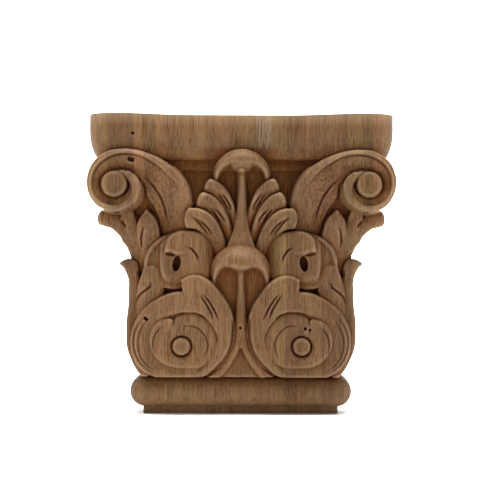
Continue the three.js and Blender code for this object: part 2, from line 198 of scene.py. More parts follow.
# Each stroke of a piece is shaped by the entry of its own name.
def layNamed(forms, *names):
    for name in names:
        layStroke(forms[name], **forms["shaping"][name])


# A pit with steep sides, down to its floor.
def cutPit(window, inside, floor, slope=40):
    relief[window] = np.minimum(relief[window], floor + slope * np.maximum(-inside, 0))


middleLeaves = {
    "upperStem": [[0, 124, 11.2, 53], [0, 132, 8.6, 52.5], [0, 139, 6.3, 51], [0, 148.5, 4.6, 49.8],
                  [0, 158, 3.7, 49.3], [0, 170, 3.1, 49.6], [0, 182, 3, 49]],
    "upperCap": [[20.3, 176.5, 1.9, 46], [19.7, 181, 2.4, 50], [18, 185.4, 2.9, 53.5],
                 [15.2, 188.8, 3.4, 56.5], [11.6, 191.4, 4, 59], [7.5, 193, 4.8, 61],
                 [3.5, 193.6, 5.5, 62], [0, 193.7, 5.6, 62.3]],
    "upperTongue": [[0, 192, 9, 61.5], [0, 189, 8.7, 61.1], [0, 187, 7.6, 59.6], [0, 185.4, 6, 57]],
    "lobes": [
        [[25, 172.6, 5.2, 50.5], [21, 170.6, 5.7, 50], [16.5, 166.8, 5.6, 49.5], [12.8, 161.8, 5, 48.5],
         [9.7, 156, 4.4, 47.3], [7.5, 150, 3.8, 45.7], [6, 141, 3.4, 43.5]],
        [[30, 161.4, 6, 51], [25.5, 159.7, 6.2, 50.5], [21, 156.2, 5.9, 50], [17.2, 151.7, 5.4, 49.3],
         [14.2, 146.5, 4.8, 48], [11.5, 140.5, 4.2, 46.3], [9, 131, 4, 43.5]],
        [[38.5, 147.6, 7.6, 51.5], [32.5, 147, 7.8, 51.5], [27, 144, 7.5, 51], [22.5, 139, 6.8, 50],
         [18.7, 133.2, 5.7, 48.7], [16, 126.5, 5, 47], [14, 120, 4.6, 45]]],
    "fanGround": [[0, 185, 54, 38], [0, 176, 50, 39], [0, 166, 44, 40], [0, 155, 36, 41],
                  [0, 140, 30, 41.5], [0, 127, 30, 41.5], [0, 112, 32, 41]],
    "lowerStem": [[0, 54, 6, 44.5], [0, 60, 5.6, 46], [0, 66, 5.1, 47], [0, 75.5, 4, 47.5],
                  [0, 87, 3.4, 47.3], [0, 98, 2.8, 47.3], [0, 110, 3, 48.5]],
    "lowerGround": [[0, 112, 32, 42], [0, 95, 26, 42], [0, 75, 22, 41], [0, 50, 22, 39],
                    [0, 28, 26, 38.5]],
    "fork": [[2, 63, 3.7, 46.6], [3.4, 54, 3.6, 45.5], [7.5, 45.3, 3.9, 44.5], [11, 40, 4.1, 43.7],
             [15.8, 34.2, 4.3, 43], [21.3, 28.5, 4.4, 42]],
    "lowerCap": [[20.8, 99.5, 2.2, 46], [20, 105, 2.9, 50], [18.6, 109.8, 3.7, 53.5],
                 [16.4, 113.4, 4.7, 57], [12.9, 116.8, 6, 60], [8, 118.8, 7.6, 62],
                 [0, 118.8, 9.1, 63]],
    "veins": [[[18.7, 167.6], [14.9, 162.4], [11.2, 156.4], [9.7, 154.2]],
              [[15.7, 167.3], [12, 162.4], [9, 157.2], [8.2, 154.2]],
              [[23.2, 154.9], [20.2, 151.2], [17.9, 147.5], [15.7, 143.7]],
              [[20.2, 155.3], [16.4, 151.2], [14.2, 148.2], [12.7, 145.2]],
              [[36.6, 149], [32.9, 146], [28.4, 140.7], [25.4, 137], [23.9, 134.8]],
              [[32.4, 147], [27.6, 143.2], [24.3, 139.6], [21.4, 135.6]]],
    "shaping": {
        "fanGround": {"crown": (1.5, 1.5), "startRound": 0.1, "endRound": 0.05},
        "lowerGround": {"crown": (1.5, 1.5)},
        "upperStem": {"crown": (3.2, 3.2), "edge": 0.8},
        "lowerStem": {"crown": (2.6, 2.6), "edge": 0.8},
        "lobes": {"crown": (4.2, 1), "edge": 1, "peak": -0.45, "power": 1.6, "startRound": 0.5},
        "fork": {"crown": (2, 2), "edge": 0.8},
        "upperTongue": {"crown": (3, 3), "edge": 2.4, "startRound": 0.2, "endRound": 0.5},
        "upperCap": {"crown": (1.6, 6.5), "edge": 0.8, "peak": 0.35, "power": 2.2},
        "lowerCap": {"crown": (2, 10), "edge": 0.8, "peak": 0.35, "power": 2.2}},
}


def carveMiddleLeaves():
    leaf, shaping = middleLeaves, middleLeaves["shaping"]
    layNamed(leaf, "fanGround", "lowerGround", "upperStem", "lowerStem")
    for lobe in leaf["lobes"]:
        layStroke(lobe, **shaping["lobes"])
    layNamed(leaf, "fork", "upperTongue")
    for name in ("upperCap", "lowerCap"):
        half = leaf[name]
        whole = half + [[-x, *rest] for x, *rest in reversed(half[:-1])]
        layStroke(whole, **shaping[name])


sideLeaves = {
    "upper": [[[104.3, 148.2, 6, 46.5], [99.5, 147.6, 6.6, 46.5], [94.5, 145.2, 6, 46], [90, 141, 5.5, 45],
               [86, 135.5, 5, 43.5], [83, 129.5, 4.4, 42], [81, 123.5, 3.8, 40], [80, 118, 2.8, 38]],
              [[86, 152, 5, 49], [85, 146.5, 5.8, 47.5], [82.5, 140, 6, 46], [80.5, 133.5, 5.6, 44],
               [79, 126, 4.8, 41.5]],
              [[71.2, 153.8, 1.4, 48.5], [71, 150, 4.8, 49], [70.6, 145.5, 7.3, 49], [70.2, 140, 8.6, 48],
               [69.8, 133, 9.3, 45.5], [70.5, 126, 9, 43], [73, 118, 7, 40.5], [75.5, 110, 5, 38]]],
    "pocketGround": [[85, 160, 8, 40], [78, 154, 8, 40], [74, 146, 8, 40]],
    "ground": [[101, 149.5, 3, 42], [92, 146, 7, 42.5], [80, 138, 12, 42.5], [74, 126, 10, 41],
               [76, 111, 5, 38]],
    "lowerEdge": [[90, 113.8, 2, 42], [86.8, 113.6, 4.1, 43], [83.6, 112.6, 5.4, 43.5],
                  [81.6, 108.2, 5, 43.3], [80.5, 102, 4.3, 42.8], [80.3, 95, 4.1, 42.2],
                  [80.5, 88, 4.1, 41.7], [81.5, 79, 3.8, 41.5], [82.5, 70, 3.9, 41.3], [82.5, 61, 4, 41.3],
                  [82, 52, 4, 41.2], [79, 43, 3.9, 41.2], [75.5, 36, 3.7, 41.2], [71, 30, 3.5, 41]],
    "lowerLobe": [[67.3, 109.3, 6.6, 47.5], [67, 103, 8.6, 47], [67.6, 96, 9.7, 46], [69.5, 89, 9.3, 45],
                  [73, 82, 7, 43.5], [76.5, 75, 4.6, 42]],
    "veins": [[[90, 146.8], [86.6, 141.6]],
              [[73.1, 142.3], [74.2, 137.8], [75, 131.8], [74.6, 125.8]],
              [[67.5, 101], [68.2, 97.3], [71.2, 94.3], [75, 91.3], [77.2, 88.3], [78.8, 84.5]],
              [[76.8, 109], [77.4, 106.2], [76.6, 103.8]]],
    "shaping": {
        "pocketGround": {"crown": (1, 1)},
        "ground": {"crown": (1, 1)},
        "upper": {"crown": (2.2, 2.2), "edge": 1},
        "lowerEdge": {"crown": (1.8, 1.8), "edge": 0.9},
        "lowerLobe": {"crown": (2.4, 2.4), "edge": 1}},
}


def carveSideLeaves():
    leaf = sideLeaves
    layNamed(leaf, "pocketGround", "ground")
    for lobe in leaf["upper"]:
        layStroke(lobe, **leaf["shaping"]["upper"])
    layNamed(leaf, "lowerEdge", "lowerLobe")


middleScroll = {
    "outline": [[60.6, 124], [60.2, 128.5], [57.5, 132], [52.5, 135], [46.5, 137.2], [42, 138.5],
                [36.5, 138.5], [30.5, 137], [25.5, 134], [22, 129.5], [19.5, 124.5], [18.5, 118.5],
                [18.5, 112.5], [21, 105.5], [26, 99.5], [34, 95.5], [42.5, 94], [51.5, 94.5],
                [56.5, 98], [59, 103.5], [60.6, 111], [60.8, 118.5]],
    "scrollEdge": 1.6,
    "hole": [47.7, 114.4], "holeHalfWidth": 2.8, "holeHalfHeight": 5.4, "holeTurn": 0.18, "holeFloor": 39,
    "rings": [[0, 47.4], [0.2, 47.6], [0.45, 48.6], [0.72, 49], [0.92, 48.2], [1, 47.4]],
    "fallBelow": 107, "fall": 0.07, "fallBeside": 32, "sideFall": 0.03,
    # the curled head lies over the scroll and ends in a small hook
    "head": [[28, 127, 6, 43], [33, 128.8, 8.4, 47.6], [39.5, 129.8, 8.9, 49.5],
             [45.5, 129.6, 8.6, 51.4], [50.5, 128, 7.2, 53], [53.6, 125.8, 4.2, 53],
             [55.2, 123.8, 2, 52.6]],
    "backCoil": [[42, 136], [53, 135.5], [60, 132.5], [66, 128.5], [70, 122.5], [72, 115], [71.5, 108],
                 [68, 101], [60, 97], [48, 95], [38, 98], [34, 110], [34, 125]],
    "backRim": [[50, 136, 1.3, 46], [56, 133.9, 1.5, 46.5], [61.5, 130.9, 1.7, 46.6],
                [65.8, 127.1, 1.7, 46.6], [69.3, 121.6, 1.6, 46.5], [71, 115, 1.4, 46.3],
                [71.1, 109, 1.3, 46]],
    "pocketGround": [[38, 93, 6, 37], [50, 92, 6, 37], [62, 91, 6, 37]],
    "backCoilMiddle": [52, 114],
    "backCoilRings": [[0, 45.4], [0.6, 45.4], [1, 45]],
    "veins": [[[39.6, 126.5], [36.6, 125], [34, 122.4], [32.1, 119.1], [31.3, 115.7]],
              [[56.5, 121.9], [52.3, 121], [48.5, 120.4]]],
    "shaping": {
        "backRim": {"crown": (0.6, 0.6), "edge": 0.8},
        "pocketGround": {"crown": (1, 1)},
        "head": {"crown": (2.2, 0.6), "edge": 1.8, "startRound": 1}},
}


def carveMiddleScroll():
    scroll = middleScroll
    layDisc(scroll["backCoil"], scroll["backCoilMiddle"], scroll["backCoilRings"])
    layNamed(scroll, "backRim", "pocketGround")
    near = nearOutline(scroll["outline"], scroll["hole"])
    below = np.maximum(scroll["fallBelow"] - upLine[near["window"][1]][None, :], 0)
    beside = np.maximum(scroll["fallBeside"] - acrossLine[near["window"][0]][:, None], 0)
    surface = ringSurface(scroll["rings"], near["share"])
    surface = surface - scroll["fall"] * below**2 - scroll["sideFall"] * beside**2
    lay(near["window"], surface - edgeDrop(near["inside"], scroll["scrollEdge"]), near["inside"])
    layNamed(scroll, "head")
    turn, hole = scroll["holeTurn"], np.array(scroll["hole"])
    window = windowOf(hole - 2 * scroll["holeHalfHeight"], hole + 2 * scroll["holeHalfHeight"])
    dx, dz = acrossLine[window[0]][:, None] - hole[0], upLine[window[1]][None, :] - hole[1]
    across, along = dx * math.cos(turn) + dz * math.sin(turn), dz * math.cos(turn) - dx * math.sin(turn)
    ratio = np.hypot(across / scroll["holeHalfWidth"], along / scroll["holeHalfHeight"])
    cutPit(window, (1 - ratio) * scroll["holeHalfWidth"], scroll["holeFloor"])


lowerScroll = {
    "coil": [[26, 81, 4, 48], [32, 83.5, 6, 51.6], [38, 85.2, 7.2, 53], [44, 85.6, 7.6, 52.4],
             [51.5, 84.2, 8, 50.5], [59, 81, 7.8, 49], [66, 76.6, 7.4, 48], [71.3, 71.6, 6.6, 47.2],
             [75.4, 65, 5.6, 46.8], [77.4, 58, 5, 46.6], [77.2, 50.6, 4.9, 46.6],
             [74.6, 43.6, 5.3, 46.8], [69.6, 38, 5.6, 47], [63, 34, 5.4, 47], [56, 31.8, 5, 47],
             [47, 31, 4.6, 47], [37, 31.2, 4.2, 46.5]],
    "largeLeaf": [[40.8, 91.5, 12, 52.4], [35.3, 92.3, 13.3, 53.6], [28, 88.9, 12.6, 53.2],
                  [20.3, 82.2, 10.4, 52], [15.3, 74.5, 9.1, 51.8], [12.3, 66.5, 7.7, 51.6],
                  [11.3, 58.5, 6.3, 51.3], [13.8, 49.6, 5.6, 50.8], [18, 42.2, 4.9, 49.8],
                  [23.4, 36.7, 4.2, 48.8], [29, 33, 3.7, 47.8], [34.5, 30.7, 3.2, 46]],
    "rosette": [[50.8, 73], [48, 75.8], [42.5, 78], [36.5, 78.5], [30.5, 76.5], [24.5, 73], [20, 67],
                [17, 60], [16.5, 52.5], [18.5, 46], [23, 40.5], [29, 36.6], [36.5, 35.2], [45.5, 35.2],
                [53.5, 36.4], [59.5, 39.4], [64.4, 43.8], [67.6, 49.4], [69.2, 55.3], [68.8, 61],
                [66.8, 66.4], [62.8, 70.8], [57, 73.4], [53, 73.9]],
    "middle": [45, 52], "rosetteEdge": 1.8,
    "rings": [[0, 46.5], [0.3, 46.6], [0.5, 47.3], [0.64, 48], [0.82, 48.8], [0.92, 48.5], [1, 47.5]],
    "groundRings": [[0, 45], [0.5, 45.6], [0.9, 45.6], [1, 43.5]],
    "ground": [[44, 88], [58, 87], [70, 81], [79, 65], [80, 50], [76, 38], [66, 30], [50, 27], [36, 28],
               [28, 33], [18, 45], [16, 60], [24, 80], [34, 87]],
    "button": {"radius": 7, "reach": 49.3, "edge": 2.4},
    "buttonGroove": {"radius": 7.5, "half": 0.65, "depth": 1.8},
    "sideGround": [[80, 96, 5, 40.5], [79.5, 84, 5, 41], [79, 72, 5.5, 41.5], [80, 60, 4, 41],
                   [78, 46, 4, 41]],
    "veins": [[[30.6, 91.6], [26.3, 85.2], [22.6, 78.5], [20.3, 72.6]],
              [[28.6, 92.3], [24.2, 86.8], [20.4, 80.6], [17.4, 74.5], [16, 71.5]]],
    "gap": [[6, 74], [5.8, 65], [6.6, 56], [9.7, 47], [14, 40.8], [19.4, 35.2], [26.5, 28.6]],
    "fineVeins": [[[51.4, 73.5], [50.6, 70.5], [51, 67.5]],
                  [[43.5, 67.5], [37.4, 67.8], [32.2, 66], [28.4, 62.2], [25.8, 57.7], [24.9, 52.5],
                   [26.2, 47], [29, 42]],
                  [[58, 67.5], [61.8, 64.5], [64.3, 61], [65.7, 56.5], [65.8, 51], [64.2, 46.5]],
                  [[72, 74.5], [77, 68], [80, 60], [80.3, 52.5], [78.2, 45], [73.6, 38], [66, 32.3]],
                  [[68.5, 74], [74, 66.5], [76.8, 58], [76.8, 50.5], [74.6, 43.5], [69.5, 37.3],
                   [62, 33.5]]],
    "shaping": {
        "sideGround": {"crown": (1, 1)},
        "coil": {"crown": (1.6, 2), "edge": 0.9},
        "largeLeaf": {"crown": (2, 1.8), "edge": 0.9, "startRound": 0.2}},
}


def carveLowerScroll():
    scroll, groove = lowerScroll, lowerScroll["buttonGroove"]
    layDisc(scroll["ground"], scroll["middle"], scroll["groundRings"])
    layNamed(scroll, "sideGround", "coil")
    layDisc(scroll["rosette"], scroll["middle"], scroll["rings"], edge=scroll["rosetteEdge"])
    middle = np.array(scroll["middle"])
    window = windowOf(middle - 2 * groove["radius"], middle + 2 * groove["radius"])
    away = np.hypot(acrossLine[window[0]][:, None] - middle[0], upLine[window[1]][None, :] - middle[1])
    layButton(scroll["middle"], **scroll["button"])
    ring = np.exp(-(((away - groove["radius"]) / groove["half"]) ** 2))
    relief[window] -= groove["depth"] * ring
    cuts[window] = np.maximum(cuts[window], ring)
    layNamed(scroll, "largeLeaf")


# A round, slightly domed boss.
def layButton(middle, radius, reach, edge):
    window = windowOf(np.array(middle) - radius - 4, np.array(middle) + radius + 4)
    away = np.hypot(acrossLine[window[0]][:, None] - middle[0], upLine[window[1]][None, :] - middle[1])
    inside = radius - away
    lay(window, reach - edgeDrop(inside, edge) - 0.8 * (away / radius) ** 2, inside)


volute = {
    "band": [[49.5, 138, 11.3, 42], [51, 150, 13.9, 45], [53.5, 161, 15.3, 49], [57.5, 171, 15.3, 54],
             [64.5, 180.4, 12, 59], [74.5, 187.4, 9.2, 64], [85.5, 190.4, 7.8, 66.5],
             [96.5, 189.6, 7.1, 67.5], [104.6, 185, 6, 67], [108.8, 177, 5, 66], [108, 168, 5, 65.5],
             [103, 161, 5.3, 65], [95.5, 158, 4.9, 65], [88, 159.5, 4.6, 65], [82, 163.5, 4.4, 65],
             [78.5, 169.5, 4.1, 65], [79.5, 175.5, 3.5, 65], [84, 180, 2.8, 66]],
    # how much lower the band's inner side lies, at shares along it
    "fall": [[0, 5], [0.25, 6], [0.4, 8], [0.62, 7], [0.8, 3], [1, 1]],
    "hollowFrom": 0.2, "hollowTo": 0.42, "bandEdge": 1.2, "footEdge": 1.6,   # its foot's edge is rounder
    "middle": [94, 173],
    "eye": {"radius": 9.7, "reach": 67.8, "edge": 2.6},
    "eyeFloor": {"radius": 17, "reach": 60, "edge": 1},
    # the band's foot slopes away toward the side leaves
    "skirt": [[63, 134, 5, 39], [65.5, 145, 7.5, 39], [68, 155, 8.5, 39.5], [70.5, 165, 8, 43],
              [72, 172, 6, 47]],
    "rim": [[39, 156.7, 2.8, 46.5], [40.8, 164, 3.3, 50], [44.1, 171.4, 3.8, 53.8],
            [48.9, 178.4, 4, 57.5], [55.2, 184.3, 3.7, 60.5], [61.8, 189.1, 3.1, 63],
            [69.2, 192.7, 2.6, 65.3], [77.3, 195.2, 2.3, 67], [86.1, 196.2, 2.1, 68],
            [94.2, 195.3, 1.95, 68.3], [100.8, 192.5, 1.9, 68.3], [106.3, 187.9, 1.8, 68],
            [109.8, 182.1, 1.8, 67.6], [111.4, 175.8, 1.8, 67.2], [111.3, 169.6, 1.8, 67],
            [109.4, 163.7, 1.9, 66.8], [105.6, 159, 2.21, 66.6], [100.1, 156.3, 2.43, 66.5],
            [93.4, 155.4, 2.65, 66.4], [86.8, 156.8, 3.02, 66.4], [81.3, 160.7, 3.38, 66.5],
            [78.1, 166.6, 3.68, 66.8], [78.5, 172.9, 3.53, 67], [82, 178, 2.94, 67],
            [87.6, 181.3, 2.21, 66.4], [92.7, 182.4, 1.47, 65]],
    "fineVeins": [[[109.8, 168], [109.2, 179.3], [105.5, 185.9], [99.7, 190.6], [92.4, 193.6],
                   [83.6, 194.3], [74, 192.5], [66.7, 188.8], [59.4, 183.7], [53.5, 177]]],
    "veins": [[[73.5, 178.5], [67.6, 173.6], [63.9, 169], [60.3, 163], [57.9, 157], [56.4, 151],
               [55.3, 144]],
              [[71, 164], [67.6, 158.5], [64.8, 152.5], [62.6, 146.5], [61, 140], [60.4, 135]]],
    "shaping": {
        "skirt": {"crown": (3, 1)},
        "rim": {"crown": (2.2, 1.3), "edge": 1.6, "endRound": 1}},
}


def smoothStep(value, low, high):
    t = np.clip((value - low) / (high - low), 0, 1)
    return t * t * (3 - 2 * t)


def carveVolute():
    layNamed(volute, "skirt")
    near = nearLine(volute["band"])
    inside = near["half"] - near["distance"]
    inner = (1 - np.clip(near["left"] / near["half"], -1, 1)) / 2
    stations = np.array(volute["fall"])
    fall = np.interp(near["share"], stations[:, 0], stations[:, 1])
    # the rising band is rounded, and the ring round the eye is hollow
    hollow = smoothStep(near["share"], volute["hollowFrom"], volute["hollowTo"])
    drop = (1 - hollow) * inner**2 + hollow * inner**1.2
    edge = volute["bandEdge"] + volute["footEdge"] * (1 - hollow)
    lay(near["window"], near["reach"] + 1 - fall * drop - edgeDrop(inside, edge), inside)
    layNamed(volute, "rim")
    layButton(volute["middle"], **volute["eyeFloor"])
    layButton(volute["middle"], **volute["eye"])


lines = {
    "vein": {"half": 0.72, "depth": 1.9},
    "fineVein": {"half": 0.5, "depth": 1.1},
    "gap": {"half": 0.95, "depth": 2.6, "taper": 0.12},
}


def carveLines():
    for form in (middleLeaves, sideLeaves, middleScroll, lowerScroll, volute):
        for vein in form["veins"]:
            markLine(vein, **lines["vein"])
    for vein in volute["fineVeins"] + lowerScroll["fineVeins"]:
        markLine(vein, **lines["fineVein"])
    markLine(lowerScroll["gap"], **lines["gap"])


carveVolute()
carveSideLeaves()
carveMiddleScroll()
carveLowerScroll()
carveMiddleLeaves()
carveLines()
relief[:, -1] = nothing
cover[:, -1] = nothing
belowField = upLine < onlay["carvingFoot"]
relief[:, belowField] = nothing
cover[:, belowField] = nothing
print("pattern sheet drawn")


# The value of the pattern sheet between its grid points.
def sampled(sheet, across, up):
    i = np.clip((across - acrossLine[0]) / pattern["cell"], 0, len(acrossLine) - 1.001)
    j = np.clip((up - upLine[0]) / pattern["cell"], 0, len(upLine) - 1.001)
    a, b = i.astype(int), j.astype(int)
    s, t = i - a, j - b
    return ((1 - s) * (1 - t) * sheet[a, b] + s * (1 - t) * sheet[a + 1, b]
            + (1 - s) * t * sheet[a, b + 1] + s * t * sheet[a + 1, b + 1])


# The two halves mirror each other, but a carver's hand strays a little, in slow waves over the sheet.
def byHand(across, up):
    stray = onlay["handWarp"]
    x = across + stray * (np.sin(up / 17 + 1) + np.sin(across / 13 + up / 29)) - 0.1
    z = up + stray * np.sin(across / 15 + 0.7 + up / 23)
    return np.abs(x), z


# Distance inside a plan with rounded front corners.
def roundedPlan(x, depth, halfWidth, reach, corner):
    qx, qy = np.abs(x) - (halfWidth - corner), depth - (reach - corner)
    return -(np.hypot(np.maximum(qx, 0), np.maximum(qy, 0)) + np.minimum(np.maximum(qx, qy), 0) - corner)


# The abacus is straight in the middle and swells out to a rounded horn at each end.
def abacusPlan(x, depth, inset):
    shape = onlay["abacus"]
    halfWidth = onlay["halfWidth"] - inset
    horn, face = shape["hornReach"] - inset, shape["faceReach"] - inset
    radius = shape["hornRound"] - inset / 2
    lobeEnd = halfWidth - radius
    across = np.abs(x)
    t = np.clip((across - shape["hornFaceStart"]) / (lobeEnd - shape["hornFaceStart"]), 0, 1)
    front = face + (horn - face) * t * t * (3 - 2 * t)
    lean = (horn - face) * 6 * t * (1 - t) / (lobeEnd - shape["hornFaceStart"])
    lobe = roundedPlan(x, depth, halfWidth, horn, radius)
    return np.where(across > lobeEnd, lobe, (front - depth) / np.hypot(1, lean))


# Distance inside the turned and planed mouldings at one level, in millimetres.
def mouldingsAt(up, x, depth):
    foot, astragal, neck, abacus, bell = (onlay[n] for n in ("foot", "astragal", "neck", "abacus", "bell"))
    abacusBottom, lap = onlay["height"] - abacus["height"], onlay["lap"]
    found = []
    if up < foot["height"] + 2 * lap:
        plan = roundedPlan(x, depth, foot["halfWidth"], foot["reach"], foot["corner"])
        found.append(np.minimum(plan, min(up, foot["height"] + lap - up)))
    half = astragal["height"] / 2
    level = (up - foot["height"] - half) / half
    if abs(level) < 1.2:
        plan = roundedPlan(x, depth, foot["halfWidth"], foot["reach"], astragal["corner"])
        out = np.maximum(-plan / astragal["overhang"], 0)
        found.append((1 - np.hypot(out, level)) * astragal["overhang"])
    if bell["start"] < up < abacusBottom + 2 * lap:
        rows = np.array(bell["outline"], float)
        halfWidth, flare = (np.interp(up, rows[:, 0], rows[:, n]) for n in (1, 2))
        reach = bell["reach"] + bell["flare"] * flare
        found.append(roundedPlan(x, depth, halfWidth, reach, bell["corner"]))
    neckBottom = abacusBottom - neck["height"]
    if neckBottom - 2 * lap < up < abacusBottom + 2 * lap:
        plan = roundedPlan(x, depth, neck["halfWidth"], neck["reach"], neck["corner"])
        found.append(np.minimum(plan, min(up - neckBottom, abacusBottom + lap - up)))
    if up > abacusBottom - 2 * lap:
        climb = np.clip(1 - (up - abacusBottom) / abacus["undercutHeight"], 0, 1)
        inset = abacus["undercut"] * (1 - math.sqrt(1 - climb**2))
        plan = abacusPlan(x, depth, inset)
        found.append(np.minimum(plan, min(up - abacusBottom, onlay["height"] - up)))
    if not found:
        return np.full(np.broadcast(x, depth).shape, nothing)
    return np.minimum(np.maximum.reduce(found), depth)


# Fill the block with its signed distance, drill its holes and wrap it in a skin.
def buildBlock():
    grid, step = onlay["grid"], onlay["grid"]["voxel"]
    x = np.arange(-grid["across"], grid["across"] + step, step)
    depth = np.arange(-grid["around"], grid["out"], step)
    up = np.arange(-grid["around"], grid["up"] + step, step)
    across, level = byHand(x[:, None], up[None, :])
    shape = sampled(relief, across, level)
    inside = sampled(cover, across, level)
    lean = np.hypot(*np.gradient(np.maximum(shape, 0), step))
    lean = np.hypot(1, np.minimum(lean, onlay["steepest"]))
    back = np.where(up > onlay["voluteFoot"], onlay["voluteBack"], onlay["leafBack"])
    out = np.empty((len(x), len(depth), len(up)), np.float32)
    for k, height in enumerate(up):
        carved = np.minimum((shape[:, k, None] - depth) / lean[:, k, None], inside[:, k, None])
        carved = np.minimum(carved, depth - back[k])
        out[:, :, k] = -np.maximum(carved, mouldingsAt(height, x[:, None], depth[None, :])) / step
    front = frontSurface(out, depth)
    for hole in onlay["holes"]:
        drillHole(out, x, depth, up, front, *hole)
    front = frontSurface(out, depth)
    volume = openvdb.FloatGrid()
    volume.background = 3.0
    volume.copyFromArray(np.clip(out, -3, 3))
    points, triangles, quads = volume.convertToPolygons(isovalue=0.0, adaptivity=0.0)
    places = points * step + np.array([x[0], depth[0], up[0]])
    places = np.stack((places[:, 0], -places[:, 1], places[:, 2] - onlay["height"] / 2), 1) / 1000
    corners = np.concatenate((triangles, quads[:, [0, 1, 2]], quads[:, [0, 2, 3]]))
    return places, corners, (x, up, front)


# How far out the wood stands at each place, seen from the front.
def frontSurface(out, depth):
    solid = out < 0
    last = len(depth) - 1 - np.argmax(solid[:, ::-1, :], axis=1)
    last = np.minimum(last, len(depth) - 2)
    i, k = np.indices(last.shape)
    here, past = out[i, last, k], out[i, last + 1, k]
    found = depth[last] + (depth[1] - depth[0]) * here / np.minimum(here - past, -1e-6)
    return np.where(solid.any(axis=1), found, -5)


# Small pin and worm holes go straight in from the carved surface.
def drillHole(out, x, depth, up, front, across, level, radius, length):
    i, k = np.searchsorted(x, across), np.searchsorted(up, level)
    step = onlay["grid"]["voxel"]
    reach = radius * 3 / step
    near = slice(int(i - reach), int(i + reach)), slice(int(k - reach), int(k + reach))
    away = np.hypot(x[near[0], None] - across, (up[None, near[1]] - level) * 0.85)   # taller than wide
    wall = (radius - away)[:, None, :]
    end = (depth - front[i, k] + length)[None, :, None]
    cut = np.minimum(wall, end) / step
    out[near[0], :, near[1]] = np.maximum(out[near[0], :, near[1]], cut)


def meshFrom(name, places, corners):
    mesh = bpy.data.meshes.new(name)
    mesh.vertices.add(len(places))
    mesh.vertices.foreach_set("co", places.astype(np.float32).ravel())
    mesh.loops.add(corners.size)
    mesh.loops.foreach_set("vertex_index", corners.astype(np.int32).ravel())
    mesh.polygons.add(len(corners))
    mesh.polygons.foreach_set("loop_start", np.arange(0, corners.size, 3, dtype=np.int32))
    mesh.update(calc_edges=True)
    return mesh


def signedVolume(places, corners):
    a, b, c = (places[corners[:, i]] for i in range(3))
    return np.einsum("ij,ij->i", a, np.cross(b, c)).sum() / 6


# Slivers shorter than the shortest edge are merged, so that every edge joins two faces.
def mergeSlivers(mesh):
    skin = bmesh.new()
    skin.from_mesh(mesh)
    shortest = onlay["shortest"] / 1000
    bmesh.ops.remove_doubles(skin, verts=skin.verts, dist=shortest)
    bmesh.ops.dissolve_degenerate(skin, edges=skin.edges, dist=shortest / 2)
    bmesh.ops.triangulate(skin, faces=[face for face in skin.faces if len(face.verts) > 3])
    print("open edges:", sum(len(edge.link_faces) != 2 for edge in skin.edges))
    skin.to_mesh(mesh)
    skin.free()


places, corners, surface = buildBlock()
if signedVolume(places, corners) < 0:
    corners = corners[:, ::-1]
print("block skinned:", len(corners), "triangles,", round(signedVolume(places, corners) * 1e6), "cm3")

piece = bpy.data.objects.new("carvedOnlay", meshFrom("carvedOnlay", places, corners))
bpy.context.scene.collection.objects.link(piece)
thin = piece.modifiers.new("thin", "DECIMATE")
thin.ratio = onlay["triangles"] / len(corners)
bpy.context.view_layer.update()
thinned = bpy.data.meshes.new_from_object(piece.evaluated_get(bpy.context.evaluated_depsgraph_get()))
piece.modifiers.remove(thin)
mergeSlivers(thinned)
piece.data = thinned
piece.data.shade_smooth()
piece.data.set_sharp_from_angle(angle=math.radians(onlay["sharpAngle"]))
print("skin thinned:", len(thinned.polygons), "triangles")


hollows = {
    "directions": 16,
    "steps": (0.8, 1.3, 2, 3, 4.5, 6.5, 9.5, 14, 20),   # how far out each look goes
    "closeSteps": (1.3, 2, 3),                          # those that tell a crease from an arris
    "slack": 0.25,                  # a rise this small hides nothing
    "graze": 0.1,                   # light that comes from a little behind still counts
    "behind": 4, "backMost": 0.3,   # past this depth it is the plain back, and shaded no more than this
    "footClimb": 0.3, "footHollow": 0.5,
}


